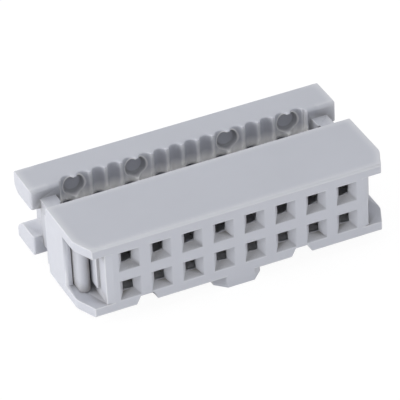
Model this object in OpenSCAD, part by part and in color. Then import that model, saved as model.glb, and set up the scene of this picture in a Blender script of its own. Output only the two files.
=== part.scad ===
// Ribbon cable socket with insulation displacement contacts, its cover lifted ready for the cable.
// X runs along the contact rows, Y from the mating face back to the cover, Z up.
// The origin is the centre of the mating face.

/* [Contact grid] */
// Contact columns in each of the two rows
columns = 8; // [4:1:12]
// Pitch of the columns and of the two rows
pitch = 2.54; // [2.5:0.02:2.7]

/* [Housing] */
// Depth of the top and bottom plates behind the mating face
plate_depth = 6.8; // [6.4:0.1:8]
// Height of the housing over both plates
housing_h = 6; // [5.8:0.1:7]
// Thickness of each plate where it overhangs the leg slots
plate_t = 0.8; // [0.5:0.05:1]
// Solid margin of the core past the outermost grid cell
core_margin = 0.6; // [0.5:0.05:1]
// Width of the slot that takes a cover leg
leg_slot_w = 1.24; // [1:0.02:1.6]
// Thickness of the end walls outside the leg slots
wall_t = 0.55; // [0.4:0.05:0.8]
// Setback of the end walls' front edge from the mating face
wall_front = 3.6; // [3:0.1:4.5]
// Rounding of the end walls' outer front edge
wall_r = 0.3; // [0.1:0.05:0.35]
// How far the end walls reach past the plates' back edge
wall_overrun = 0.3; // [0.1:0.05:0.4]
// Inset of the plates' front corners from their sides
nose_inset = 0.77; // [0.4:0.01:1.2]
// Depth of the slanted front corners
nose_depth = 1.75; // [1.3:0.05:2.4]
// Radius that blends a slanted corner into the side
nose_r = 1.2; // [0.5:0.1:1.5]
// Rounding of the housing's long edges
edge_r = 0.18; // [0.05:0.01:0.3]
// Width of the shallow bevel at each end of the mating face, between the plates
end_bevel_w = 0.58; // [0.2:0.02:0.7]
// Depth of that bevel at the core's edge
end_bevel_depth = 0.18; // [0.05:0.01:0.4]

/* [Sockets] */
// Width of a socket's square mouth
mouth_w = 1.68; // [1.4:0.02:2]
// Depth of the lead-in from mouth to hole
mouth_depth = 0.55; // [0.2:0.05:0.65]
// Width of the square pin hole
hole_w = 0.84; // [0.8:0.02:1.1]
// Thickness of the wall between mating face and contact cavities
face_t = 0.8; // [0.75:0.05:1.3]

/* [Key and notches] */
// Width of the polarising key
key_w = 3.9; // [3:0.1:5]
// Height of the key below the housing
key_drop = 0.95; // [0.6:0.05:1.3]
// Chamfer of the key's front corners in plan
key_chamfer = 0.85; // [0.3:0.05:1.2]
// Width of a lead-in notch at the bottom face
notch_mouth = 1.75; // [1.3:0.05:2]
// Width of a lead-in notch at its top
notch_top = 1; // [0.6:0.05:1.2]
// Depth of a lead-in notch
notch_depth = 0.72; // [0.4:0.02:0.8]
// Length of a lead-in notch behind the mating face
notch_length = 3; // [1:0.1:5]
// Column after which the first notch stands
first_notch = 1; // [1:1:2]
// Column after which the second notch stands, counted from the far end
second_notch = 2; // [1:1:2]

/* [Catches] */
// Height of a catch above the core's end face
catch_out = 0.24; // [0.15:0.01:0.35]
// Setback of a catch from the mating face
catch_front = 1.35; // [0.8:0.05:1.8]
// Length of a catch along the slot
catch_length = 1.12; // [0.8:0.02:1.6]
// Height of a catch, top to bottom
catch_h = 2.85; // [1.5:0.05:3.4]
// Rounding of a catch's rear corners
catch_r = 0.25; // [0.1:0.05:0.5]

/* [Cable bed] */
// Rise of the cable bed's ridges behind the plates
bed_rise = 1.2; // [0.9:0.05:1.5]
// Height of the cable bed
bed_h = 3.8; // [3.6:0.1:4.2]
// Margin of the bed past the outermost grid cell
bed_margin = 0.12; // [0.05:0.01:0.25]
// Radius of the grooves that hold the cable's wires
groove_r = 0.52; // [0.45:0.01:0.58]
// Depth of the grooves below the ridges
groove_depth = 0.42; // [0.3:0.01:0.44]

/* [Cover] */
// Depth of the cover, front to back
cover_depth = 3.3; // [2.8:0.1:4.5]
// Height of the cover
cover_h = 5.9; // [5.4:0.1:6.2]
// Overhang of the cover past each end of the housing
cover_overhang = 0.14; // [0:0.02:0.3]
// Setback of the cover's ridges from its end faces
crest_setback = 0.3; // [0.1:0.02:0.5]
// Travel of the cover from lifted to pressed home
travel = 1.45; // [1.2:0.05:1.6]
// Gap left between the cover's and the bed's ridges when pressed home
cable_nip = 0.25; // [0.15:0.01:0.4]
// Rounding of the cover's long edges
cover_r = 0.3; // [0.1:0.05:0.5]
// Rounding of the cover's upright corner edges
cover_corner_r = 0.2; // [0.1:0.05:0.5]
// Radius of the round marks on the cover's ridges
mark_r = 0.8; // [0.5:0.05:0.85]
// Height of the round marks above and below the cover's middle
mark_z = 1.97; // [1.85:0.01:2]
// Depth of the round marks below the ridges
mark_depth = 0.8; // [0.5:0.05:1]

/* [Cover ends] */
// Height of the strain relief slot between the two lugs
clip_slot_h = 2.45; // [1.6:0.05:2.6]
// Rounding of the upper lug's inner back corner
upper_lug_r = 1; // [0.4:0.05:1.2]
// Rounding of the lower lug's inner back corner
lower_lug_r = 1.6; // [0.4:0.05:1.65]

/* [Cover legs] */
// Clearance between a leg and the wall or catch beside it
leg_fit = 0.05; // [0.03:0.01:0.1]
// Play of a leg between the plates, above and below it
leg_side_gap = 0.15; // [0.1:0.01:0.22]
// Setback of the leg tips from the mating face when pressed home
tip_inset = 0.7; // [0.3:0.05:0.9]
// Step of the leg's root in over the end of the core
root_step = 0.12; // [0.05:0.01:0.2]
// Clearance between the leg's root and the core when pressed home
root_fit = 0.05; // [0.03:0.01:0.2]
// How far the root reaches ahead of that step, beside the core
root_lead = 0.4; // [0.1:0.05:1]

/* [Contacts] */
// Thickness of the contact's metal strip
strip_t = 0.2; // [0.15:0.01:0.3]
// Height of the strip's inner face from the middle of the housing
strip_z = 0.3; // [0.26:0.02:0.5]
// Clearance between a contact and its cavity
contact_fit = 0.04; // [0.02:0.01:0.08]
// Width of the contact's receptacle
receptacle_w = 1.5; // [1.3:0.05:1.6]
// Height of the receptacle's walls above the row's middle
receptacle_rise = 0.5; // [0.4:0.05:0.7]
// Length of the receptacle's walls
receptacle_length = 1.4; // [1:0.1:1.7]
// Gap between the spring beams where they grip the pin
grip_gap = 0.5; // [0.4:0.02:0.6]
// Gap between the spring beams at their flared tips
flare_gap = 0.9; // [0.7:0.02:1]
// Thickness of the spring beams at the grip
beam_t = 0.22; // [0.15:0.01:0.24]
// Height of the spring beams
beam_h = 0.84; // [0.5:0.02:0.9]
// Setback of the beam tips from the cavities' front
beam_setback = 0.6; // [0.1:0.05:0.8]
// Length of the flared beam tips
flare_length = 0.6; // [0.4:0.05:0.8]
// Setback of the fork's shoulder from the plates' back edge
shoulder_setback = 0.8; // [0.4:0.05:1]
// Width of the insulation displacement fork
fork_w = 1.05; // [0.9:0.01:1.1]
// Width of the fork's wire slot
fork_slot_w = 0.28; // [0.2:0.01:0.34]
// Reach of the fork's tips past the bed's ridges
fork_reach = 1.15; // [1:0.05:1.2]
// Depth of the fork's wire slot
fork_slot_depth = 1.9; // [1.5:0.05:2]
// Length of the bevels at the fork's tips
tine_bevel = 0.4; // [0.2:0.05:0.5]
// Width of a tine's blunt end
tine_end = 0.1; // [0.06:0.01:0.16]
// Clearance above and below a fork in its pocket, besides the cover's play
pocket_fit = 0.06; // [0.04:0.01:0.1]
// Extra width of a pocket on each side of the fork
pocket_side = 0.2; // [0.06:0.01:0.24]
// Room past the fork's tips in the cover when pressed home
pocket_end = 0.25; // [0.1:0.05:0.4]

/* [Hidden] */
$fn = 48;
cut = 0.5;
contacts = 2 * columns;

grid_half = columns * pitch / 2;
row_z = pitch / 2;
wire_pitch = pitch / 2;
wire_offset = pitch / 4;

core_half = grid_half + core_margin;
wall_in = core_half + leg_slot_w;
housing_half = wall_in + wall_t;
half_h = housing_h / 2;
slot_half_h = half_h - plate_t;

bed_half = grid_half + bed_margin;
bed_y = plate_depth + bed_rise;
crest_y = bed_y + cable_nip + travel;
cover_front = crest_y - crest_setback;
cover_back = cover_front + cover_depth;
cover_half = housing_half + cover_overhang;
cover_half_h = cover_h / 2;
cover_sag = leg_side_gap - leg_fit;

leg_out = wall_in - leg_fit;
leg_in = core_half + catch_out + leg_fit;
leg_half_h = slot_half_h - leg_side_gap;
leg_tip = travel + tip_inset;
root_front = plate_depth + root_fit + travel;
root_in = core_half - root_step;

receptacle_back = plate_depth - shoulder_setback;
receptacle_front = receptacle_back - receptacle_length;
beam_tip = face_t + beam_setback;
beam_grip = beam_tip + flare_length;
fork_tip = bed_y + fork_reach;
fork_root = fork_tip - fork_slot_depth;

plastic = [0.73, 0.74, 0.78];
tin = [0.78, 0.77, 0.74];

function column_x(c) = (c - (columns - 1) / 2) * pitch;
function wire_x(w) = (w - (contacts - 1) / 2) * wire_pitch;

// Rectangle from corner a to corner b, its four corners rounded
module rounded_rect(a, b, r) {
    translate([a.x + r, a.y]) square([b.x - a.x - 2 * r, b.y - a.y]);
    translate([a.x, a.y + r]) square([b.x - a.x, b.y - a.y - 2 * r]);
    for (x = [a.x + r, b.x - r], y = [a.y + r, b.y - r]) translate([x, y]) circle(r);
}

// Cutter that rounds the corner of a piece that lies left of and above the origin
module corner_rounding(r) {
    difference() {
        translate([-r, -cut]) square([r + cut, r + cut]);
        translate([-r, r]) circle(r);
    }
}

// Box from corner a to corner b
module box(a, b) {
    translate(a) cube(b - a);
}

// Outline in Y and Z, extruded along X from one value to another
module along_x(from, to) {
    translate([from, 0, 0]) rotate([90, 0, 90]) linear_extrude(to - from) children();
}

// Outline in X and Y, extruded along Z to the same height above and below the middle
module about_middle(half) {
    linear_extrude(2 * half, center = true) children();
}

// The same thing at both ends of the part
module both_ends() {
    children();
    mirror([1, 0, 0]) children();
}

// Puts what is drawn for the upper row's middle column at contact i, counted in wire order
module at_contact(i) {
    translate([column_x(floor((i - 1) / 2)), 0, 0]) rotate([0, (i - 1) % 2 * 180, 0]) children();
}

// Plan of the plates: square at the back, slanted and blended front corners
module plate_plan() {
    slant = atan(nose_inset / nose_depth);
    blend = nose_r * tan(slant / 2);
    side_y = nose_depth + blend;
    slant_x = housing_half - blend * sin(slant);
    slant_y = nose_depth - blend * cos(slant);
    half_plan = [
        [0, 0],
        [housing_half - nose_inset, 0],
        [slant_x, slant_y],
        [housing_half, side_y],
        [housing_half, plate_depth],
        [0, plate_depth],
    ];
    both_ends() {
        polygon(half_plan);
        translate([housing_half - nose_r, side_y]) circle(nose_r);
    }
}

// Plan of a leg slot, open in front and behind, with the bevel at the end of the mating face
module leg_slot_plan() {
    slope = end_bevel_depth / end_bevel_w;
    bevel = [
        [core_half - end_bevel_w - cut / slope, -cut],
        [cover_half, -cut],
        [cover_half, end_bevel_depth],
        [core_half, end_bevel_depth],
    ];
    polygon(bevel);
    translate([core_half, 0]) square([cover_half - core_half, plate_depth + cut]);
}

// Core and plates, with the housing's long edges rounded
module core_and_plates() {
    intersection() {
        difference() {
            about_middle(half_h) plate_plan();
            both_ends() about_middle(slot_half_h) leg_slot_plan();
        }
        along_x(-cover_half, cover_half) rounded_rect([0, -half_h], [plate_depth, half_h], edge_r);
    }
}

// Wall that closes the outer side of a leg slot, rooted in both plates
module end_wall() {
    wall_back = plate_depth + wall_overrun;
    about_middle(slot_half_h) difference() {
        translate([wall_in, wall_front]) square([wall_t, wall_back - wall_front]);
        translate([housing_half, wall_front]) corner_rounding(wall_r);
    }
    root_low = [wall_in, wall_front + wall_r, -half_h + edge_r];
    root_high = [housing_half, plate_depth - edge_r, half_h - edge_r];
    box(root_low, root_high);
}

// Catch on the core's end face, blunt in front and rounded behind
module catch() {
    catch_back = catch_front + catch_length;
    along_x(core_half - cut, core_half + catch_out) {
        rounded_rect([catch_front, -catch_h / 2], [catch_back, catch_h / 2], catch_r);
        translate([catch_front, -catch_h / 2]) square([catch_r, catch_h]);
    }
}

// Grooved bed that carries the cable behind the core
module cable_bed() {
    about_middle(bed_h / 2) difference() {
        translate([-bed_half, plate_depth - cut]) square([2 * bed_half, bed_rise + cut]);
        for (w = [0:contacts - 1]) translate([wire_x(w), bed_y + groove_r - groove_depth]) circle(groove_r);
    }
}

// Polarising key under the middle, its front corners cut off
module key() {
    tip_half = key_w / 2 - key_chamfer;
    half_plan = [
        [0, 0],
        [tip_half, 0],
        [key_w / 2, key_chamfer],
        [key_w / 2, plate_depth],
        [0, plate_depth],
    ];
    translate([0, 0, -half_h - key_drop]) linear_extrude(key_drop + cut) both_ends() polygon(half_plan);
}

// Lead-in notch in the bottom face
module notch(x) {
    flare = (notch_mouth - notch_top) / notch_depth / 2;
    outline = [
        [-notch_mouth / 2 - flare * cut, -half_h - cut],
        [notch_mouth / 2 + flare * cut, -half_h - cut],
        [notch_top / 2, -half_h + notch_depth],
        [-notch_top / 2, -half_h + notch_depth],
    ];
    translate([x, notch_length, 0]) rotate([90, 0, 0]) linear_extrude(notch_length + cut) polygon(outline);
}

// Pin hole with its square lead-in, for the upper row
module socket() {
    slope = (mouth_w - hole_w) / mouth_depth / 2;
    wide = mouth_w / 2 + slope * cut;
    lead_in = [[-wide, -cut], [wide, -cut], [hole_w / 2, mouth_depth], [-hole_w / 2, mouth_depth]];
    translate([0, 0, row_z]) {
        intersection() {
            about_middle(wide) polygon(lead_in);
            rotate([0, 90, 0]) about_middle(wide) polygon(lead_in);
        }
        box([-hole_w / 2, 0, -hole_w / 2], [hole_w / 2, face_t + cut, hole_w / 2]);
    }
}

// Cavity that a contact of the upper row is pushed into from behind
module cavity() {
    half_w = receptacle_w / 2 + contact_fit;
    fork_left = -wire_offset - fork_w / 2 - contact_fit;
    floor_z = strip_z - contact_fit;
    roof_z = row_z + receptacle_rise + contact_fit;
    strip_top = strip_z + strip_t + contact_fit;
    box([-half_w, face_t, floor_z], [half_w, bed_y + cut, roof_z]);
    box([fork_left, receptacle_back - contact_fit, floor_z], [0, bed_y + cut, strip_top]);
}

module housing() {
    color(plastic) difference() {
        union() {
            core_and_plates();
            both_ends() end_wall();
            both_ends() catch();
            cable_bed();
            key();
        }
        for (i = [1:contacts]) at_contact(i) socket();
        for (i = [1:contacts]) at_contact(i) cavity();
        notch((first_notch - columns / 2) * pitch);
        notch((columns / 2 - second_notch) * pitch);
    }
}

// Outer form of the cover, every outer edge rounded
module cover_block() {
    intersection() {
        about_middle(cover_half_h)
            rounded_rect([-cover_half, cover_front], [cover_half, cover_back], cover_corner_r);
        along_x(-cover_half, cover_half)
            rounded_rect([cover_front, -cover_half_h], [cover_back, cover_half_h], cover_r);
    }
}

// Leg that runs down the slot at one end of the housing
module cover_leg() {
    tip_r = (leg_out - leg_in) / 2;
    tip_y = leg_tip + tip_r;
    leg_back = cover_front + cut;
    lead_in_x = core_half + leg_fit;
    about_middle(leg_half_h) {
        translate([leg_in + tip_r, tip_y]) circle(tip_r);
        translate([leg_in, tip_y]) square([leg_out - leg_in, leg_back - tip_y]);
        translate([root_in, root_front]) square([leg_out - root_in, leg_back - root_front]);
        translate([lead_in_x, root_front - root_lead]) square([leg_out - lead_in_x, root_lead + cut]);
    }
}

// Ridged inner face of the cover, cut away
module cable_face() {
    about_middle(cover_half_h + cut) {
        translate([-bed_half, cover_front - cut]) square([2 * bed_half, crest_setback + cut]);
        for (w = [0:contacts - 1]) translate([wire_x(w), crest_y + groove_depth - groove_r]) circle(groove_r);
    }
}

// Round marks on the ridges, above and below the fork pockets
module marks() {
    for (c = [0, 2, columns - 3, columns - 1], side = [-1, 1])
        translate([column_x(c), crest_y + mark_depth, side * mark_z])
            rotate([90, 0, 0]) cylinder(r = mark_r, h = mark_depth + crest_setback);
}

// Pocket that takes the tines of an upper contact's fork
module fork_pocket() {
    half_w = fork_w / 2 + pocket_side;
    room = leg_side_gap + pocket_fit;
    pocket_back = fork_tip + travel + pocket_end;
    low = [-wire_offset - half_w, cover_front - cut, strip_z - room];
    high = [-wire_offset + half_w, pocket_back, strip_z + strip_t + room];
    box(low, high);
}

// Strain relief slot between the lugs of one end, as deep as the leg and flared towards the back
module clip_slot() {
    half = clip_slot_h / 2;
    along_x(leg_in, cover_half + cut) {
        translate([cover_front - cut, -half]) square([cover_depth + 2 * cut, clip_slot_h]);
        translate([cover_back, half]) corner_rounding(upper_lug_r);
        mirror([0, 1]) translate([cover_back, half]) corner_rounding(lower_lug_r);
    }
}

// The cover lies as low in the leg slots as its play lets it
module cover() {
    color(plastic) translate([0, 0, -cover_sag]) difference() {
        union() {
            difference() {
                cover_block();
                both_ends() clip_slot();
            }
            difference() {
                both_ends() cover_leg();
                both_ends() box(
                    [0, cover_front, -clip_slot_h / 2],
                    [cover_half, cover_back, clip_slot_h / 2]);
            }
        }
        cable_face();
        marks();
        for (i = [1:contacts]) at_contact(i) fork_pocket();
    }
}

// Spring beam on the right of the pin: straight in to the grip, then flared out
module beam() {
    root_in_x = receptacle_w / 2 - strip_t;
    outline = [
        [receptacle_w / 2, receptacle_front + strip_t],
        [receptacle_w / 2, receptacle_front],
        [grip_gap / 2 + beam_t, beam_grip],
        [flare_gap / 2 + beam_t, beam_tip],
        [flare_gap / 2, beam_tip],
        [grip_gap / 2, beam_grip],
        [root_in_x, receptacle_front],
        [root_in_x, receptacle_front + strip_t],
    ];
    translate([0, 0, row_z]) about_middle(beam_h / 2) polygon(outline);
}

// Flat strip: receptacle floor, shoulder, and the fork that stands over its wire
module strip() {
    half_w = receptacle_w / 2;
    left = -wire_offset - fork_w / 2;
    right = -wire_offset + fork_w / 2;
    slant_back = receptacle_back + half_w - right;
    outline = [
        [-half_w, receptacle_front],
        [half_w, receptacle_front],
        [half_w, receptacle_back],
        [right, slant_back],
        [right, fork_root],
        [left, fork_root],
        [left, receptacle_back],
        [-half_w, receptacle_back],
    ];
    translate([0, 0, strip_z]) linear_extrude(strip_t) {
        polygon(outline);
        translate([-wire_offset, 0]) both_ends() tine();
    }
}

// One tine of the fork, bevelled on both sides of its tip
module tine() {
    inner = fork_slot_w / 2;
    outer = fork_w / 2;
    tip_mid = (inner + outer) / 2;
    outline = [
        [inner, fork_root],
        [inner, fork_tip - tine_bevel],
        [tip_mid - tine_end / 2, fork_tip],
        [tip_mid + tine_end / 2, fork_tip],
        [outer, fork_tip - tine_bevel],
        [outer, fork_root],
    ];
    polygon(outline);
}

// Receptacle wall on the right of the pin, folded up from the strip
module receptacle_wall() {
    half_w = receptacle_w / 2;
    box([half_w - strip_t, receptacle_front, strip_z], [half_w, receptacle_back, row_z + receptacle_rise]);
}

module contact(i) {
    color(tin) at_contact(i) {
        strip();
        both_ends() receptacle_wall();
        both_ends() beam();
    }
}

housing();
cover();
for (i = [1:contacts])
    contact(i);
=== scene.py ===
"""Dresses the ribbon cable connector's solids in plastic and tin, on a studio stage."""
import math

import bmesh
import bpy
from bpy.props import FloatProperty, FloatVectorProperty, IntProperty, PointerProperty
from mathutils import Matrix, Vector


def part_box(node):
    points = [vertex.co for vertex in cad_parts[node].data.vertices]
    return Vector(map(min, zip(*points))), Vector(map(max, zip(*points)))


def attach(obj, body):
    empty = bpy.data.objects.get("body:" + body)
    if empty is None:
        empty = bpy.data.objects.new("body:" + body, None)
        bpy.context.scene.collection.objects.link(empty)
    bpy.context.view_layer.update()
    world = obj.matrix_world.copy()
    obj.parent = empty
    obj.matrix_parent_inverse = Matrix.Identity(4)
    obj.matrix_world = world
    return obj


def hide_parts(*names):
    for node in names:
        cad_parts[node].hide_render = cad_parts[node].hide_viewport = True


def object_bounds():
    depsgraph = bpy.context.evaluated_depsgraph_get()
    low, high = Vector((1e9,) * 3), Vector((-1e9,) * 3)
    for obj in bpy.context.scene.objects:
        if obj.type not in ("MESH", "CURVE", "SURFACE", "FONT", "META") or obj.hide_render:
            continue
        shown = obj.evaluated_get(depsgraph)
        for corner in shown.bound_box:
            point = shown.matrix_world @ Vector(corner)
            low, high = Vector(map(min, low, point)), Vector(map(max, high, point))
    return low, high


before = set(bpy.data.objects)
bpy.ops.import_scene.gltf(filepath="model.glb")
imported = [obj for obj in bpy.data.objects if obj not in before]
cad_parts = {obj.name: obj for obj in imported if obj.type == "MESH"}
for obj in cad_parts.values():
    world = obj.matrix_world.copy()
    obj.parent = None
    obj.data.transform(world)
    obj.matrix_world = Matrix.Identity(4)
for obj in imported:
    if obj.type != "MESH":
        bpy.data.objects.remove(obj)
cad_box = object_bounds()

bl_info = {
    "name": "Ribbon cable connector",
    "version": (1, 0, 0),
    "blender": (4, 5, 0),
    "location": "View3D > Sidebar > Connector",
    "description": "Mouldings, contacts and studio stage of an insulation displacement connector",
    "category": "Object",
}

MM = 0.001
CONTACTS = sorted(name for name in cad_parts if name.startswith("contact_"))


# ---------------------------------------------------------------- settings

class MouldingSettings(bpy.types.PropertyGroup):
    """Sizes of the two plastic mouldings that the solids leave crisp."""

    edge_radius: FloatProperty(
        name="Edge radius", description="Rounding of the mouldings' outer corners",
        default=0.06 * MM, min=0.01 * MM, max=0.1 * MM, unit="LENGTH", precision=6)
    edge_segments: IntProperty(
        name="Edge segments", description="Faces across each rounded corner",
        default=3, min=1, max=6)


class RidgeSettings(bpy.types.PropertyGroup):
    """Sizes of the ridged face that presses the ribbon cable into the contacts."""

    groove_radius: FloatProperty(
        name="Groove radius", description="Radius of the groove over each wire",
        default=0.52 * MM, min=0.4 * MM, max=0.55 * MM, unit="LENGTH", precision=6)
    groove_depth: FloatProperty(
        name="Groove depth", description="Depth of the grooves below the crests",
        default=0.42 * MM, min=0.2 * MM, max=0.5 * MM, unit="LENGTH", precision=6)
    crest_radius: FloatProperty(
        name="Crest radius", description="Rounding on both sides of a crest",
        default=0.11 * MM, min=0.02 * MM, max=0.12 * MM, unit="LENGTH", precision=6)
    lip_radius: FloatProperty(
        name="Lip radius", description="Rounding where the grooves run out at the top and bottom",
        default=0.09 * MM, min=0.02 * MM, max=0.1 * MM, unit="LENGTH", precision=6)
    mark_radius: FloatProperty(
        name="Mark radius", description="Radius of the round marks",
        default=0.8 * MM, min=0.4 * MM, max=0.82 * MM, unit="LENGTH", precision=6)
    mark_depth: FloatProperty(
        name="Mark depth", description="Depth of the round marks below the crests",
        default=0.8 * MM, min=0.45 * MM, max=1 * MM, unit="LENGTH", precision=6)
    mark_rim: FloatProperty(
        name="Mark rim", description="Width of the soft rim round each mark",
        default=0.12 * MM, min=0.04 * MM, max=0.3 * MM, unit="LENGTH", precision=6)


class PlasticSettings(bpy.types.PropertyGroup):
    """Colours, painted light and shade, and grain of the moulded plastic."""

    colour: FloatVectorProperty(
        name="Plastic colour", description="Body colour of both mouldings",
        default=(0.485, 0.497, 0.552), subtype="COLOR", size=3, min=0, max=1)
    # Painted highlight: the rounded corners take this paler colour
    edge_highlight_colour: FloatVectorProperty(
        name="Edge highlight colour", description="Paler colour of the rounded corners",
        default=(0.565, 0.575, 0.615), subtype="COLOR", size=3, min=0, max=1)
    # Painted shade: a recess takes this darker colour where its sides shelter it
    recess_shade_colour: FloatVectorProperty(
        name="Recess shade colour", description="Painted shade deep inside sockets, slots and marks",
        default=(0.24, 0.235, 0.24), subtype="COLOR", size=3, min=0, max=1)
    recess_reach: FloatProperty(
        name="Recess reach", description="How far apart the sides of a recess may be to shade it",
        default=1 * MM, min=0.1 * MM, max=5 * MM, unit="LENGTH", precision=6)
    # Painted light: the sockets' chambers take this paler colour
    lit_chamber_colour: FloatVectorProperty(
        name="Lit chamber colour", description="Pale colour inside the sockets' chambers",
        default=(0.64, 0.645, 0.68), subtype="COLOR", size=3, min=0, max=1)
    # Painted light: the key's sides take this paler colour in place of light from the floor below
    lit_key_colour: FloatVectorProperty(
        name="Lit key colour", description="Pale colour of the key's sides, painted light from the floor below",
        default=(0.70, 0.705, 0.73), subtype="COLOR", size=3, min=0, max=1)
    # Painted light: thin corners pale towards the painted light colour
    corner_reach: FloatProperty(
        name="Corner reach", description="How far from a corner the thin plastic looks paler",
        default=0.7 * MM, min=0.05 * MM, max=1 * MM, unit="LENGTH", precision=6)
    corner_paling: FloatProperty(
        name="Corner paling", description="Share of the painted light colour at thin corners",
        default=0.28, min=0, max=1, subtype="FACTOR")
    # Painted light colour: on the ridged face and, in part, at thin corners
    painted_light_colour: FloatVectorProperty(
        name="Painted light colour", description="Pale colour of the painted light on the ridged face and, in part, thin corners",
        default=(0.95, 0.945, 0.955), subtype="COLOR", size=3, min=0, max=1)
    # Painted shade: sheltered floors of the lead-ins that face up take this dark colour
    lead_in_shade_colour: FloatVectorProperty(
        name="Dust colour", description="Colour of the dust on the floors of the lead-ins",
        default=(0.10, 0.095, 0.09), subtype="COLOR", size=3, min=0, max=1)
    lead_in_shade: FloatProperty(
        name="Lead-in shade", description="Cover of dust on the floors of the sockets' lead-ins",
        default=0.9, min=0, max=1, subtype="FACTOR")
    roughness: FloatProperty(
        name="Roughness", description="Middle value of the satin surface's roughness",
        default=0.46, min=0.05, max=1, subtype="FACTOR")
    grain: FloatProperty(
        name="Grain height", description="Height of the mould's fine grain",
        default=0.004 * MM, min=0, max=0.05 * MM, unit="LENGTH", precision=6)


class ContactSettings(bpy.types.PropertyGroup):
    """Colour and finish of the stamped contacts."""

    colour: FloatVectorProperty(
        name="Tin colour", description="Colour of the plating on the contacts",
        default=(0.66, 0.65, 0.62), subtype="COLOR", size=3, min=0, max=1)
    roughness: FloatProperty(
        name="Roughness", description="Middle value of the plating's roughness",
        default=0.3, min=0.05, max=1, subtype="FACTOR")


class StageSettings(bpy.types.PropertyGroup):
    """Floor and light around the part."""

    floor_colour: FloatVectorProperty(
        name="Floor colour", description="Colour of the pale floor",
        default=(0.97, 0.97, 0.97), subtype="COLOR", size=3, min=0, max=1)
    shadow: FloatProperty(
        name="Shadow", description="Share of the part's shadow that shows on the white floor",
        default=0.1, min=0, max=1, subtype="FACTOR")
    sky: FloatProperty(
        name="Sky level", description="Strength of the even light from all sides",
        default=0.66, min=0, max=2)
    left: FloatProperty(
        name="Left softbox", description="Power of the large lamp on the left",
        default=1.25, min=0, max=20, unit="POWER")
    overhead: FloatProperty(
        name="Overhead softbox", description="Power of the large lamp above",
        default=0.19, min=0, max=20, unit="POWER")
    front: FloatProperty(
        name="Front softbox", description="Power of the low lamp in front",
        default=0.52, min=0, max=20, unit="POWER")


# ---------------------------------------------------------------- sizes in millimetres

# Points closer than this are one: in the solids, after rounding, along a cut
WELD, FINE_WELD, CUT_WELD = 0.004, 0.0005, 1e-5
# Faces that lie this far inside a cut are cut away
CUT_SLACK = 1e-4

# The cover's middle is made anew between these ends, with this rounding along its back
MIDDLE_END = 10.38
COVER_ROUNDING = 0.3

# The cable face in front of it has a groove for each wire
PITCH = 1.27
WIRES = 16
FACE_MIDDLE = -0.1

# Round marks of the face: a pair at each end, above and below the face's middle
MARKS_X = (-8.89, -3.81, 3.81, 8.89)
MARKS_Z = (-2.07, 1.87)
PAIR_MIDDLE, MARK_FROM_PAIR, MARK_RISE = 6.35, 2.54, 1.97

# Pockets of the face for the forks, and the heights of their two rows
POCKET_HALF = 0.725
POCKET_ROWS = ((-0.01, 0.61), (-0.81, -0.19))

# Faces of the mesh over each half of a groove and each side of a crest
GROOVE_STEPS, CREST_STEPS = 7, 3
# Over each shoulder, over each lip, round the back's corners, and up the face
SHOULDER_STEPS, LIP_STEPS, BACK_STEPS, FACE_STEPS = 10, 4, 8, 24
# Rows of points along the top and bottom, between the lips and the back's corners
BAR_ROWS = (10.7, 11.5)
# Fine lines over each half of a mark
FINE_STEP, FINE_STEPS = 0.04, 22
# Room that other lines leave beside fine lines and beside fixed ones
CLEAR_ACROSS, CLEAR_UP, CLEAR_FIXED = 0.03, 0.04, 0.012

# Where a zone has no limit
OPEN = 99


class Zone:
    """Box of places on a moulding, alike at both ends and above and below the middle."""

    def __init__(self, x=(-OPEN, OPEN), y=(-OPEN, OPEN), z=(-OPEN, OPEN)):
        self.sides = x, y, z

    def holds(self, p):
        places = abs(p.x), p.y, abs(p.z)
        return all(low < place < high for place, (low, high) in zip(places, self.sides))


# Corners of the housing that stay sharp
SOCKETS = Zone(x=(-OPEN, 10.2), y=(0.5, OPEN), z=(-OPEN, 1.885))
END_LEDGES = Zone(x=(11.9, OPEN), y=(6.6, OPEN), z=(2.1, 2.85))
CABLE_BED = Zone(y=(7.9, OPEN))

# Corners of the cover that stay sharp
REMADE_MIDDLE = Zone(x=(-OPEN, 10.27))
RELIEF_SLOT_ENDS = Zone(x=(10.95, 11.15), y=(12.4, OPEN))
LEG_STEPS = Zone(x=(10.6, 10.85), y=(-OPEN, 8.5))

# Faces of the housing with a skin of their own
# The front edges take the painted edge highlight
FRONT_EDGES = Zone(y=(-OPEN, 0.17), z=(2.83, 3.01))
# Lead-ins of the mouths take painted shade
MOUTHS = Zone(x=(-OPEN, 10.2), y=(-OPEN, 0.56), z=(-OPEN, 2.15))
# Chambers take painted light
CHAMBERS = Zone(x=(-OPEN, 10.2), y=(-OPEN, 7.9), z=(-OPEN, 1.885))
# Leg slots and their walls take painted shade
LEG_SLOTS = Zone(x=(10.7, 12.1), z=(-OPEN, 2.21))
SLOT_WALL_FROM = 11.7
FRONT = 0.01
PLATE_UNDERSIDE = -3.01
# Beyond this the key's sides take painted light
KEY_SIDE = 1.93

# Faces of the cover with a skin of their own
COVER_ENDS = Zone(x=(MIDDLE_END, OPEN), y=(-OPEN, 9.8))
# The legs and the ends' faces towards the housing take painted shade
LEGS_TO = 9.35

# How far a face has to turn to count as facing a way
FACING = 0.5
FACING_UP = 0.7

# Places of the skins in a moulding's list: in both lists, in the housing's, in the cover's; the
# second in both lists paints a highlight on the rounded edges
PLAIN, EDGE_HIGHLIGHT = 0, 1
LEAD_IN, CHAMBER, SLOT, SLOT_WALL, KEY = 2, 3, 4, 5, 6
RIDGE, LEG, END = 2, 3, 4

# Angles at an edge: flat, sharp enough to be rounded, kept sharp in the shading
FLAT, CORNER, SHARP = math.radians(0.5), math.radians(30), math.radians(40)


# ---------------------------------------------------------------- materials

# Colour sockets of a mix node
MIX_A, MIX_B, MIX_RESULT = 6, 7, 2
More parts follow.
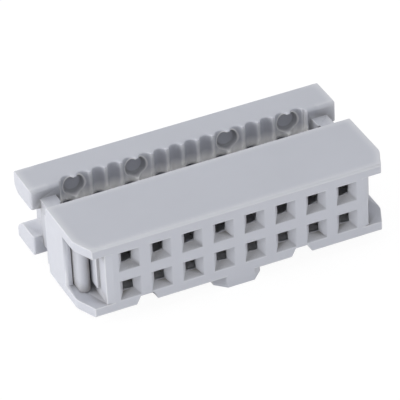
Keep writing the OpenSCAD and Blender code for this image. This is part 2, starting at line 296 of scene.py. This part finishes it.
# Where most of a noise lies, and the ranges from sheltered to open and from level to upward that
# set the painted light and shade
NOISE_RANGE = (0.3, 0.7)
OPENING = (0.45, 1.0)
LEAD_IN_SHADE_OPENING = (0.89, 1.0)
LEAD_IN_SHADE_UPWARD = (0.3, 0.75)
# Painted light at thin corners, from this far out, on faces that turn up this far, over these
# widths
ALL_TOPS = (-1 * MM, 0.3)
END_TOPS = (11 * MM, 0.3)
END_FACES = (11 * MM, -2)
FADE_OUT, FADE_UP = 0.3 * MM, 0.4
# Painted highlight on a mark's rim and painted shade on its wall, in millimetres from its radius
RIM_OUT, WALL_IN = 0.11, 0.04
# Darkest and palest flow marks, the legs' painted shade, and the dull patches of the plating
FLOW_TINTS = (0.97, 1.03)
LEG_SHADE_TINT = 0.89
DULL_TINT = 0.86


def tinted(colour, tint):
    return [tint * c for c in colour]


class Nodes:
    """Short calls for shader nodes, which take outputs or plain values and give outputs."""

    def __init__(self, material):
        material.use_nodes = True
        self.tree = material.node_tree
        self.shader = self.tree.nodes["Principled BSDF"]
        self.place = self.add("ShaderNodeTexCoord", "Place on the part").outputs

    def give(self, socket, value):
        if isinstance(value, bpy.types.NodeSocket):
            self.tree.links.new(value, socket)
        else:
            socket.default_value = value

    def add(self, kind, label, **values):
        node = self.tree.nodes.new(kind)
        node.label = label
        for name, value in values.items():
            if name in node.inputs:
                self.give(node.inputs[name], value)
            else:
                setattr(node, name, value)
        return node

    def shade(self, values):
        """Gives the surface's own shader its values."""
        for name, value in values.items():
            self.give(self.shader.inputs[name], value)

    def noise(self, label, size, detail=2.0, roughness=0.5, place=None):
        node = self.add(
            "ShaderNodeTexNoise", label, Vector=place or self.place["Object"],
            Scale=1 / size, Detail=detail, Roughness=roughness)
        return node.outputs["Fac"]

    def spread(self, label, value, gives, over=NOISE_RANGE):
        """Runs evenly between two ends while another value runs over a range."""
        node = self.add("ShaderNodeMapRange", label, Value=value)
        sockets = ("From Min", "From Max", "To Min", "To Max")
        for socket, end in zip(sockets, (*over, *gives)):
            node.inputs[socket].default_value = end
        return node.outputs["Result"]

    def maths(self, label, operation, a, b=0.0):
        node = self.add("ShaderNodeMath", label, operation=operation)
        self.give(node.inputs[0], a)
        self.give(node.inputs[1], b)
        return node.outputs[0]

    def parts(self, label, vector):
        return self.add("ShaderNodeSeparateXYZ", label, Vector=vector).outputs

    def shelter(self, label, reach, alone=True, inside=False):
        """How open the place is to its own piece or to all, or how thick the piece is there."""
        node = self.add(
            "ShaderNodeAmbientOcclusion", label, samples=8,
            only_local=alone, inside=inside, Distance=reach)
        return node.outputs["AO"]

    def blend(self, label, factor, a, b):
        """Colour from a to b by a factor."""
        node = self.add("ShaderNodeMix", label, data_type="RGBA", Factor=factor)
        for socket, colour in ((MIX_A, a), (MIX_B, b)):
            plain = not isinstance(colour, bpy.types.NodeSocket)
            self.give(node.inputs[socket], (*colour, 1) if plain else colour)
        return node.outputs[MIX_RESULT]

    def relief(self, label, height, strength, depth):
        node = self.add(
            "ShaderNodeBump", label, Height=height, Strength=strength, Distance=depth)
        return node.outputs["Normal"]


def cable_face_light_and_shade(n, ridges):
    """Shares of painted light and of painted shade on the cable face, from places in millimetres.

    Painted light lies along its middle, on the crests and round the marks, and painted shade
    inside the marks along their walls.
    """
    in_mm = n.add(
        "ShaderNodeVectorMath", "In millimetres", operation="SCALE",
        Vector=n.place["Object"], Scale=1 / MM)
    at = n.parts("Place on the face", in_mm.outputs["Vector"])
    rise = n.maths("From the middle", "SUBTRACT", at["Z"], FACE_MIDDLE)
    height = n.maths("Up or down", "ABSOLUTE", rise)
    from_crest = n.maths("From a crest", "PINGPONG", at["X"], PITCH / 2)

    side = n.maths("Side", "ABSOLUTE", at["X"])
    beside = n.maths("Beside a pair's middle", "SUBTRACT", side, PAIR_MIDDLE)
    from_pair = n.maths("From a pair's middle", "ABSOLUTE", beside)
    off = n.add(
        "ShaderNodeCombineXYZ", "Off the mark",
        X=n.maths("Across the mark", "SUBTRACT", from_pair, MARK_FROM_PAIR),
        Y=n.maths("Up the mark", "SUBTRACT", height, MARK_RISE))
    length = n.add(
        "ShaderNodeVectorMath", "From a mark", operation="LENGTH", Vector=off.outputs["Vector"])
    from_mark = length.outputs["Value"]

    def from_ring(label, radius):
        return n.maths(label, "ABSOLUTE", n.maths("Off the ring", "SUBTRACT", from_mark, radius))

    radius = ridges.mark_radius / MM
    from_rim = from_ring("From a rim", radius + RIM_OUT)
    from_wall = from_ring("From a mark's wall", radius - WALL_IN)
    # Painted light along the middle, on the crests and round the rims; painted shade along the
    # marks' walls
    middle = n.spread("Lit middle", height, gives=(1, 0), over=(0.9, 1.7))
    lower = n.spread("Lower down", height, gives=(0.65, 0.3), over=(1.3, 2.4))
    crests = n.spread("Crests", from_crest, gives=(1, 0), over=(0.04, 0.2))
    rims = n.spread("Lit rims", from_rim, gives=(0.66, 0), over=(0.02, 0.1))
    outside = n.spread(
        "Outside the marks", from_mark, gives=(0, 1), over=(radius - 0.02, radius + 0.05))
    face_shade = n.spread("Painted shade along the wall", from_wall, gives=(0.5, 0), over=(0.08, 0.18))
    lit_crests = n.maths("Lit crests", "MULTIPLY", crests, lower)
    most = n.maths("Most", "MAXIMUM", n.maths("More", "ADD", middle, lit_crests), rims)
    at_most_all = n.maths("At most all", "MINIMUM", most, 1.0)
    return n.maths("Painted light share", "MULTIPLY", at_most_all, outside), face_shade


def upward(n, over):
    """1 on faces that turn up, 0 on the others."""
    return n.spread("Upward", n.parts("Facing", n.place["Normal"])["Z"], gives=(0, 1), over=over)


def corner_paling(n, values, from_x, facing_up):
    """Share of painted light at thin corners, from a place outwards, on faces that turn up."""
    thin = n.shelter("Thin corners", values.corner_reach, inside=True)
    paling = n.spread("Paling", thin, gives=(values.corner_paling, 0), over=OPENING)
    side = n.maths("Side", "ABSOLUTE", n.parts("Place along the part", n.place["Object"])["X"])
    beyond = n.spread("Beyond", side, gives=(0, 1), over=(from_x, from_x + FADE_OUT))
    there = n.maths("There", "MULTIPLY", beyond, upward(n, (facing_up, facing_up + FADE_UP)))
    return n.maths("Paled corners", "MULTIPLY", paling, there)


def plastic_material(
        name, colour, values, shade_recesses=False, lead_in_shade=False, among=False, ridges=None, pale=None):
    """Satin moulded plastic with flow marks and a fine grain.

    If asked for, it takes painted shade in each recess, of its own piece or among the pieces, and
    on sheltered floors that face up, painted light and painted shade on the ridged face, and
    painted light at thin corners.
    """
    material = bpy.data.materials.new(name)
    n = Nodes(material)
    flow = n.noise("Flow marks", size=4 * MM, detail=3)
    skin = n.blend("Body colour", flow, *(tinted(colour, tint) for tint in FLOW_TINTS))
    # Painted light at thin corners
    if pale:
        paling = corner_paling(n, values, *pale)
        skin = n.blend("Paled colour", paling, skin, values.painted_light_colour)
    # Painted shade where this piece, or all pieces, shelter the surface
    if shade_recesses:
        open_to = n.shelter("Recess shade", values.recess_reach, alone=not among)
        opening = n.spread("Open surface", open_to, gives=(0, 1), over=OPENING)
        skin = n.blend("Recess shaded colour", opening, values.recess_shade_colour, skin)
    # Painted shade on sheltered floors that face up
    if lead_in_shade:
        open_to = n.shelter("Sheltered", 2 * values.recess_reach)
        sheltered = n.spread("Shelter", open_to, gives=(values.lead_in_shade, 0), over=LEAD_IN_SHADE_OPENING)
        lead_in_shaded = n.maths("Lead-in shade share", "MULTIPLY", sheltered, upward(n, LEAD_IN_SHADE_UPWARD))
        skin = n.blend("Lead-in shaded colour", lead_in_shaded, skin, values.lead_in_shade_colour)
    # Painted light and painted shade on the ridged face
    if ridges:
        face_light, face_shade = cable_face_light_and_shade(n, ridges)
        skin = n.blend("Painted shade on the marks", face_shade, skin, values.recess_shade_colour)
        skin = n.blend("Painted light colour", face_light, skin, values.painted_light_colour)
    patches = n.noise("Satin patches", size=0.9 * MM, detail=4)
    satin = (values.roughness - 0.05, values.roughness + 0.06)
    grain = n.noise("Mould grain", size=0.09 * MM, detail=3, roughness=0.6)
    n.shade({
        "Base Color": skin,
        "Roughness": n.spread("Satin", patches, gives=satin),
        "Normal": n.relief("Grain relief", grain, strength=0.5, depth=values.grain),
        "IOR": 1.5,
        "Subsurface Weight": 0.12,
        "Subsurface Radius": (1.0, 1.0, 1.1),
        "Subsurface Scale": 0.25 * MM,
    })
    return material


def tin_material(name, values):
    """Bright tin plate with the rolling lines of the strip and dull patches."""
    material = bpy.data.materials.new(name)
    n = Nodes(material)
    patches = n.noise("Dull patches", size=0.5 * MM, detail=4)
    sheen = (values.roughness - 0.08, values.roughness + 0.1)
    along = n.add(
        "ShaderNodeMapping", "Along the strip", Vector=n.place["Object"], Scale=(1, 0.05, 1))
    lines = n.noise("Rolling lines", size=0.05 * MM, place=along.outputs["Vector"])
    n.shade({
        "Base Color": n.blend("Plating", patches, tinted(values.colour, DULL_TINT), values.colour),
        "Roughness": n.spread("Plating roughness", patches, gives=sheen),
        "Normal": n.relief("Rolled relief", lines, strength=0.4, depth=0.003 * MM),
        "Metallic": 1.0,
    })
    return material


# ---------------------------------------------------------------- mouldings

def weld(bm, apart):
    """Joins points that lie this close and removes the empty faces between them."""
    bmesh.ops.remove_doubles(bm, verts=bm.verts, dist=apart)
    bmesh.ops.dissolve_degenerate(bm, edges=bm.edges, dist=apart)


def solid_in_mm(node):
    """The node's solid as a mesh in millimetres, with well shaped triangles on its flat faces."""
    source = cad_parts[node]
    bm = bmesh.new()
    bm.from_mesh(source.data)
    bm.transform(Matrix.Scale(1 / MM, 4) @ source.matrix_world)
    weld(bm, WELD)
    bmesh.ops.triangulate(bm, faces=bm.faces)
    flat = [e for e in bm.edges if e.is_manifold and e.calc_face_angle() < FLAT]
    bmesh.ops.beautify_fill(
        bm, faces=bm.faces, edges=flat, use_restrict_tag=False, method="ANGLE")
    return bm


def round_corners(bm, values, crisp):
    """Rounds every outer corner of a moulding, apart from edges with their middle in a zone."""
    corners = []
    for edge in bm.edges:
        middle = (edge.verts[0].co + edge.verts[1].co) / 2
        if edge.calc_face_angle_signed() > CORNER and not any(z.holds(middle) for z in crisp):
            corners.append(edge)
    # The rounded faces take the skin with the painted edge highlight
    bmesh.ops.bevel(
        bm, geom=corners, offset=values.edge_radius / MM, offset_type="OFFSET",
        segments=values.edge_segments, profile=0.5, affect="EDGES",
        clamp_overlap=False, loop_slide=False, material=EDGE_HIGHLIGHT)
    weld(bm, FINE_WELD)


def give_skins(bm, skin_at):
    """Gives each face the skin for its middle, its direction and the skin it was made with."""
    bm.normal_update()
    for face in bm.faces:
        middle = face.calc_center_median()
        face.material_index = skin_at(middle, face.normal, face.material_index)


def housing_skin(p, normal, made):
    """Front edges with painted highlight, key sides and chambers with painted light, lead-ins and
    leg slots with painted shade, or as made.
    """
    if FRONT_EDGES.holds(p):
        return EDGE_HIGHLIGHT
    if p.z < PLATE_UNDERSIDE:
        return KEY if abs(p.x) > KEY_SIDE else PLAIN
    if MOUTHS.holds(p):
        return PLAIN if p.y < FRONT else LEAD_IN
    if CHAMBERS.holds(p):
        return CHAMBER
    if LEG_SLOTS.holds(p) and made != EDGE_HIGHLIGHT:
        return SLOT_WALL if abs(p.x) > SLOT_WALL_FROM and abs(normal.x) > FACING else SLOT
    return made


def cover_skin(p, normal, made):
    """The legs, and the ends' upper faces towards the housing, with painted shade; or as made."""
    if COVER_ENDS.holds(p) and normal.z < FACING_UP:
        if p.y < LEGS_TO:
            return LEG
        if p.z > 0 and normal.y < -FACING:
            return END
    return made


def moulding(name, bm, skins):
    """Turns a finished mesh in millimetres into a piece with its skins."""
    bm.transform(Matrix.Scale(MM, 4))
    mesh = bpy.data.meshes.new(name)
    bm.to_mesh(mesh)
    bm.free()
    for skin in skins:
        mesh.materials.append(skin)
    mesh.shade_smooth()
    mesh.set_sharp_from_angle(angle=SHARP)
    piece = bpy.data.objects.new(name, mesh)
    bpy.context.scene.collection.objects.link(piece)
    shading = piece.modifiers.new("Even shading", "WEIGHTED_NORMAL")
    shading.keep_sharp = True
    shading.weight = 100
    return piece


def eased(t):
    """0 to 1 with a soft start and end."""
    return t * t * (3 - 2 * t)


class CableFace:
    """Ridged face of the cover in millimetres: how deep it lies at each place."""

    crest = 9.7
    wires = [(w - (WIRES - 1) / 2) * PITCH for w in range(WIRES)]
    marks = [(x, z) for x in MARKS_X for z in MARKS_Z]
    pockets = (
        [(x - POCKET_HALF, x + POCKET_HALF, *POCKET_ROWS[0]) for x in wires[0::2]]
        + [(x - POCKET_HALF, x + POCKET_HALF, *POCKET_ROWS[1]) for x in wires[1::2]])
    pocket_floor = 10.85
    shoulder = 10.12
    shoulder_end = 10.36
    shoulder_rise = 0.3
    slope_step = 1e-4

    def __init__(self, values):
        self.radius = values.groove_radius / MM
        self.centre = self.crest + values.groove_depth / MM - self.radius
        self.fillet = values.crest_radius / MM
        self.mark_radius = values.mark_radius / MM
        self.mark_floor = self.crest + values.mark_depth / MM
        self.rim = values.mark_rim / MM
        reach = self.radius + self.fillet
        drop = self.crest + self.fillet - self.centre
        self.fillet_at = math.sqrt(reach ** 2 - drop ** 2)
        self.groove_end = self.fillet_at * self.radius / reach

    def up_shoulder(self, x):
        """0 between the shoulders, 1 where they meet the cover's front."""
        along = (abs(x) - self.shoulder) / (self.shoulder_end - self.shoulder)
        return eased(min(max(along, 0), 1))

    def groove(self, x):
        """Depth of the grooves with the shoulders at both ends."""
        return self.ridge(x) - self.shoulder_rise * self.up_shoulder(x)

    def ridge(self, x):
        """Depth of the grooves and their soft crests."""
        off = min(abs(x - w) for w in self.wires)
        if off < self.groove_end:
            return self.centre + math.sqrt(self.radius ** 2 - off ** 2)
        if off < self.fillet_at:
            curl = math.sqrt(self.fillet ** 2 - (self.fillet_at - off) ** 2)
            return self.crest + self.fillet - curl
        return self.crest

    def into(self, x):
        """Direction into the plastic, across the grooves."""
        step = self.slope_step
        slope = (self.ridge(x + step) - self.ridge(x - step)) / (2 * step)
        length = math.hypot(slope, 1)
        return -slope / length, 1 / length

    def depth(self, x, z):
        """Depth of the face with its round marks."""
        y = self.groove(x)
        for mark_x, mark_z in self.marks:
            inside = (self.mark_radius - math.hypot(x - mark_x, z - mark_z)) / self.rim + 0.5
            if inside > 0:
                y += (self.mark_floor - y) * eased(min(inside, 1))
        return y

    def in_pocket(self, x, z):
        return any(a < x < b and c < z < d for a, b, c, d in self.pockets)

    def lines_across(self):
        """Places along X that follow the grooves, the crests, the marks and the pocket sides."""
        lines = []
        for k in range(SHOULDER_STEPS + 1):
            x = self.shoulder + (self.shoulder_end - self.shoulder) * k / SHOULDER_STEPS
            lines += [-x, x]
        turn = math.asin(self.groove_end / self.radius)
        curl = math.asin((self.fillet_at - self.groove_end) / self.fillet)
        for w in self.wires:
            for k in range(-GROOVE_STEPS, GROOVE_STEPS + 1):
                lines.append(w + self.radius * math.sin(turn * k / GROOVE_STEPS))
            for k in range(CREST_STEPS):
                off = self.fillet_at - self.fillet * math.sin(curl * k / CREST_STEPS)
                lines += [w - off, w + off]
        sides = [side for pocket in self.pockets for side in pocket[:2]]
        return tidy_lines(lines, MARKS_X, CLEAR_ACROSS, [-MIDDLE_END, MIDDLE_END] + sides)

    def lines_up(self, low, high):
        """Places along Z between the lips that follow the marks and the pocket sides."""
        lines = [low + (high - low) * k / FACE_STEPS for k in range(FACE_STEPS + 1)]
        sides = [side for pocket in self.pockets for side in pocket[2:]]
        return tidy_lines(lines, MARKS_Z, CLEAR_UP, [low, high] + sides)


def tidy_lines(lines, marks, clear, fixed):
    """Sorted places: all the fixed ones, and fine lines over the marks and others clear of them."""
    steps = range(-FINE_STEPS, FINE_STEPS + 1)
    fine = [mark + FINE_STEP * k for mark in marks for k in steps]
    others = [x for x in lines if min(abs(x - f) for f in fine) > clear]
    kept = sorted(set(round(f, 4) for f in fixed))
    inner = [
        x for x in sorted(others + fine)
        if kept[0] < x < kept[-1] and min(abs(x - f) for f in kept) > CLEAR_FIXED]
    return sorted(kept + inner)


def bar_ring(face, x, up, low, high, back, lip_radius):
    """Points round the bar at one place: up the face, over the lip, the top, the back and below."""
    into_x, into_y = face.into(x)
    groove = face.groove(x)
    r = COVER_ROUNDING
    lip = lip_radius + (r - lip_radius) * face.up_shoulder(x)
    first = math.asin(1 - lip_radius / lip)
    lip_turns = [first + (math.pi / 2 - first) * k / LIP_STEPS for k in range(1, LIP_STEPS + 1)]
    back_turns = [math.pi / 2 * k / BACK_STEPS for k in range(BACK_STEPS + 1)]
    middle, half = (low + high) / 2, (high - low) / 2

    def roll(z):
        rise = max(abs(z - middle) - half + lip, 0)
        return lip - math.sqrt(lip ** 2 - rise ** 2)

    def lip_point(turn, z, way):
        sink, rise = lip * (1 - math.cos(turn)), lip * math.sin(turn)
        return x + into_x * sink, groove + into_y * sink, z + way * (rise - lip)

    ring = [(x, face.depth(x, z) + roll(z), z) for z in up]
    ring += [lip_point(turn, high, 1) for turn in lip_turns]
    ring += [(x, y, high) for y in BAR_ROWS]
    ring += [(x, back - r + r * math.sin(t), high - r + r * math.cos(t)) for t in back_turns]
    ring += [(x, back, middle)]
    ring += [(x, back - r + r * math.cos(t), low + r - r * math.sin(t)) for t in back_turns]
    ring += [(x, y, low) for y in reversed(BAR_ROWS)]
    ring += [lip_point(turn, low, -1) for turn in reversed(lip_turns)]
    return ring


def cable_bar(values, low, high, back):
    """Middle of the cover: ridged face with soft crests, round marks and fork pockets."""
    face = CableFace(values)
    lip_radius = values.lip_radius / MM
    across = face.lines_across()
    up = face.lines_up(low + lip_radius, high - lip_radius)
    bm = bmesh.new()
    rings = []
    for x in across:
        ring = bar_ring(face, x, up, low, high, back, lip_radius)
        rings.append([bm.verts.new(point) for point in ring])
    floor = {}

    def floor_point(i, k):
        if (i, k) not in floor:
            floor[i, k] = bm.verts.new((across[i], face.pocket_floor, up[k]))
        return floor[i, k]

    def open_cell(i, k):
        inside = 0 <= i < len(across) - 1 and 0 <= k < len(up) - 1
        return inside and face.in_pocket(
            (across[i] + across[i + 1]) / 2, (up[k] + up[k + 1]) / 2)

    count = len(rings[0])
    for i in range(len(rings) - 1):
        near, far = rings[i], rings[i + 1]
        for k in range(count):
            if not open_cell(i, k):
                after = (k + 1) % count
                skin = bm.faces.new((near[k], far[k], far[after], near[after]))
                if k < len(up) - 1:
                    skin.material_index = RIDGE
                continue
            corners = ((i, k), (i + 1, k), (i + 1, k + 1), (i, k + 1))
            bm.faces.new([floor_point(*corner) for corner in corners])
            for side, (di, dk) in enumerate(((0, -1), (1, 0), (0, 1), (-1, 0))):
                if not open_cell(i + di, k + dk):
                    a, b = corners[side], corners[(side + 1) % len(corners)]
                    rim = rings[a[0]][a[1]], rings[b[0]][b[1]]
                    bm.faces.new((*rim, floor_point(*b), floor_point(*a)))
    bm.faces.new(rings[0])
    bm.faces.new(list(reversed(rings[-1])))
    bmesh.ops.recalc_face_normals(bm, faces=bm.faces)
    return bm


def without_middle(bm):
    """Cuts the middle out of the cover and closes the two ends that are left."""
    for side in (-1, 1):
        geometry = bm.verts[:] + bm.edges[:] + bm.faces[:]
        bmesh.ops.bisect_plane(
            bm, geom=geometry, dist=CUT_WELD,
            plane_co=(side * MIDDLE_END, 0, 0), plane_no=(1, 0, 0))
    inside = MIDDLE_END - CUT_SLACK
    middle = [f for f in bm.faces if abs(f.calc_center_median().x) < inside]
    bmesh.ops.delete(bm, geom=middle, context="FACES")
    rims = [e for e in bm.edges if e.is_boundary]
    bmesh.ops.edgenet_fill(bm, edges=rims)


class CONNECTOR_OT_housing(bpy.types.Operator):
    """Moulds the housing over its solid"""

    bl_idname = "connector.housing"
    bl_label = "Housing"

    def execute(self, context):
        values = context.scene.connector_mouldings
        bm = solid_in_mm("housing")
        round_corners(bm, values, (SOCKETS, END_LEDGES, CABLE_BED))
        give_skins(bm, housing_skin)
        plastic = context.scene.connector_plastic
        colour = plastic.colour
        # Painted light at thin top corners, painted edge highlight, painted shade in the lead-ins
        # and slots, painted light in the chambers and on the key's sides
        skins = [
            plastic_material("housing_plastic", colour, plastic, pale=ALL_TOPS),
            plastic_material("housing_corners", plastic.edge_highlight_colour, plastic),
            plastic_material("housing_lead_ins", colour, plastic, shade_recesses=True, lead_in_shade=True),
            plastic_material("housing_chambers", plastic.lit_chamber_colour, plastic),
            plastic_material("housing_slots", colour, plastic, shade_recesses=True),
            plastic_material("housing_slot_walls", colour, plastic, shade_recesses=True, among=True),
            plastic_material("housing_key", plastic.lit_key_colour, plastic),
        ]
        piece = moulding("housing_moulding", bm, skins)
        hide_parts("housing")
        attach(piece, "socket")
        return {"FINISHED"}


class CONNECTOR_OT_cover(bpy.types.Operator):
    """Moulds the cover over its solid"""

    bl_idname = "connector.cover"
    bl_label = "Cover"

    def execute(self, context):
        values = context.scene.connector_mouldings
        ridges = context.scene.connector_ridges
        bm = solid_in_mm("cover")
        round_corners(bm, values, (REMADE_MIDDLE, RELIEF_SLOT_ENDS, LEG_STEPS))
        without_middle(bm)
        low, high = (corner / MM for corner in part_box("cover"))
        bar = cable_bar(ridges, low.z, high.z, high.y)
        joined = bpy.data.meshes.new("middle")
        bar.to_mesh(joined)
        bm.from_mesh(joined)
        bar.free()
        bpy.data.meshes.remove(joined)
        give_skins(bm, cover_skin)
        plastic = context.scene.connector_plastic
        colour, shaded = plastic.colour, tinted(plastic.colour, LEG_SHADE_TINT)
        # Painted light at the ends' thin corners, painted edge highlight, painted light and shade
        # on the ridged face, painted shade on the legs and end faces
        skins = [
            plastic_material("cover_plastic", colour, plastic, pale=END_TOPS),
            plastic_material("cover_corners", plastic.edge_highlight_colour, plastic),
            plastic_material("cover_ridges", colour, plastic, ridges=ridges),
            plastic_material("cover_legs", shaded, plastic, shade_recesses=True, among=True),
            plastic_material(
                "cover_ends", colour, plastic, shade_recesses=True, among=True, pale=END_FACES),
        ]
        piece = moulding("cover_moulding", bm, skins)
        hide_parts("cover")
        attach(piece, "cover")
        return {"FINISHED"}


class CONNECTOR_OT_contacts(bpy.types.Operator):
    """Plates the sixteen contacts"""

    bl_idname = "connector.contacts"
    bl_label = "Contacts"

    def execute(self, context):
        tin = tin_material("tin_plate", context.scene.connector_contacts)
        for name in CONTACTS:
            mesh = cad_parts[name].data
            mesh.materials.clear()
            mesh.materials.append(tin)
        return {"FINISHED"}


# ---------------------------------------------------------------- stage

# Floor: half its width in metres, and the level at which it shows white
FLOOR_HALF = 1.5
FLOOR_WHITE = 1.04
SKY_TINT = (0.985, 0.995, 1, 1)

# Softboxes: name, setting of the power, place and size in metres, colour
LAMPS = (
    ("left_softbox", "left", (-0.36, 0.1, 0.1), 0.3, (1, 0.985, 0.955)),
    ("overhead_softbox", "overhead", (-0.03, 0.24, 0.38), 0.4, (0.95, 0.97, 1)),
    ("front_softbox", "front", (-0.03, -0.5, 0.045), 0.1, (1, 0.985, 0.96)),
)
LAMP_TARGET = (0, 6 * MM, 0)

# Camera: sensor and lens in millimetres, and how the part is turned and placed before the lens
SENSOR, LENS = 36, 346.3
PART_TURN = (2.124852, -0.495382, 0.203655)
PART_PLACE = (2.935136, 3.009941, 284.406213)


def softbox(name, power, place, size, colour):
    """Soft lamp that faces the part."""
    lamp = bpy.data.lights.new(name, "AREA")
    lamp.shape = "SQUARE"
    lamp.size = size
    lamp.energy = power
    lamp.color = colour
    stand = bpy.data.objects.new(name, lamp)
    stand.location = place
    aim = Vector(LAMP_TARGET) - Vector(place)
    stand.rotation_euler = aim.to_track_quat("-Z", "Y").to_euler()
    bpy.context.scene.collection.objects.link(stand)


def seen_directly(tree):
    """1 for rays that show the stage itself: direct, in a reflection or through a clear piece."""
    path = tree.nodes.new("ShaderNodeLightPath")
    total = path.outputs["Is Camera Ray"]
    for output in ("Is Glossy Ray", "Is Transmission Ray"):
        larger = tree.nodes.new("ShaderNodeMath")
        larger.operation = "MAXIMUM"
        tree.links.new(total, larger.inputs[0])
        tree.links.new(path.outputs[output], larger.inputs[1])
        total = larger.outputs[0]
    return total


def floor_material(values):
    """Pale floor that shows white, with a faint shadow of the part."""
    material = bpy.data.materials.new("pale_floor")
    material.use_nodes = True
    tree = material.node_tree
    tree.nodes.clear()
    out = tree.nodes.new("ShaderNodeOutputMaterial")
    paint = tree.nodes.new("ShaderNodeBsdfDiffuse")
    paint.inputs["Color"].default_value = (*values.floor_colour, 1)
    white = tree.nodes.new("ShaderNodeEmission")
    white.inputs["Color"].default_value = (1, 1, 1, 1)
    white.inputs["Strength"].default_value = FLOOR_WHITE
    share = tree.nodes.new("ShaderNodeMath")
    share.operation = "MULTIPLY"
    share.inputs[1].default_value = 1 - values.shadow
    mix = tree.nodes.new("ShaderNodeMixShader")
    tree.links.new(seen_directly(tree), share.inputs[0])
    tree.links.new(share.outputs[0], mix.inputs["Fac"])
    tree.links.new(paint.outputs["BSDF"], mix.inputs[1])
    tree.links.new(white.outputs["Emission"], mix.inputs[2])
    tree.links.new(mix.outputs["Shader"], out.inputs["Surface"])
    return material


def white_sky(values):
    """Even light from all sides that shows as plain white."""
    world = bpy.data.worlds.new("studio")
    bpy.context.scene.world = world
    world.use_nodes = True
    tree = world.node_tree
    sky = tree.nodes["Background"]
    sky.inputs["Color"].default_value = SKY_TINT
    level = tree.nodes.new("ShaderNodeMapRange")
    level.inputs["To Min"].default_value = values.sky
    level.inputs["To Max"].default_value = 1
    tree.links.new(seen_directly(tree), level.inputs["Value"])
    tree.links.new(level.outputs["Result"], sky.inputs["Strength"])


def studio_camera():
    """Long lens camera in front of, left of and above the part."""
    camera = bpy.data.cameras.new("studio_camera")
    camera.sensor_width = SENSOR
    camera.lens = LENS
    stand = bpy.data.objects.new("studio_camera", camera)
    turn = Vector(PART_TURN)
    to_lens = Matrix.Rotation(turn.length, 3, turn.normalized())
    part = Vector(PART_PLACE) * MM
    flip = Matrix(((1, 0, 0), (0, -1, 0), (0, 0, -1)))
    facing = (flip @ to_lens).transposed()
    stand.matrix_world = Matrix.Translation(-(to_lens.transposed() @ part)) @ facing.to_4x4()
    bpy.context.scene.collection.objects.link(stand)
    bpy.context.scene.camera = stand


class CONNECTOR_OT_stage(bpy.types.Operator):
    """Sets the floor, the soft lamps and the camera"""

    bl_idname = "connector.stage"
    bl_label = "Stage"

    def execute(self, context):
        values = context.scene.connector_stage
        bm = bmesh.new()
        bmesh.ops.create_grid(bm, x_segments=4, y_segments=4, size=FLOOR_HALF)
        bmesh.ops.translate(bm, verts=bm.verts, vec=(0, 0, cad_box[0][2]))
        mesh = bpy.data.meshes.new("floor")
        bm.to_mesh(mesh)
        bm.free()
        mesh.materials.append(floor_material(values))
        floor = bpy.data.objects.new("floor", mesh)
        context.scene.collection.objects.link(floor)
        white_sky(values)
        for name, power, *rest in LAMPS:
            softbox(name, getattr(values, power), *rest)
        studio_camera()
        context.scene.view_settings.view_transform = "Standard"
        return {"FINISHED"}


# ---------------------------------------------------------------- panel

MAKERS = (CONNECTOR_OT_housing, CONNECTOR_OT_cover, CONNECTOR_OT_contacts, CONNECTOR_OT_stage)
SETTINGS = (
    ("connector_mouldings", MouldingSettings),
    ("connector_ridges", RidgeSettings),
    ("connector_plastic", PlasticSettings),
    ("connector_contacts", ContactSettings),
    ("connector_stage", StageSettings),
)


class CONNECTOR_PT_panel(bpy.types.Panel):
    """Connector's settings and makers in the sidebar"""

    bl_idname = "CONNECTOR_PT_panel"
    bl_label = "Ribbon cable connector"
    bl_space_type = "VIEW_3D"
    bl_region_type = "UI"
    bl_category = "Connector"

    def draw(self, context):
        for attribute, group in SETTINGS:
            box = self.layout.box()
            values = getattr(context.scene, attribute)
            for name in group.__annotations__:
                box.prop(values, name)
        for maker in MAKERS:
            self.layout.operator(maker.bl_idname)


def register():
    for attribute, group in SETTINGS:
        bpy.utils.register_class(group)
        setattr(bpy.types.Scene, attribute, PointerProperty(type=group))
    for cls in (*MAKERS, CONNECTOR_PT_panel):
        bpy.utils.register_class(cls)


def unregister():
    for cls in (CONNECTOR_PT_panel, *reversed(MAKERS)):
        bpy.utils.unregister_class(cls)
    for attribute, group in reversed(SETTINGS):
        delattr(bpy.types.Scene, attribute)
        bpy.utils.unregister_class(group)


def main():
    register()
    bpy.ops.connector.housing()
    bpy.ops.connector.cover()
    bpy.ops.connector.contacts()
    bpy.ops.connector.stage()


if __name__ == "__main__":
    main()
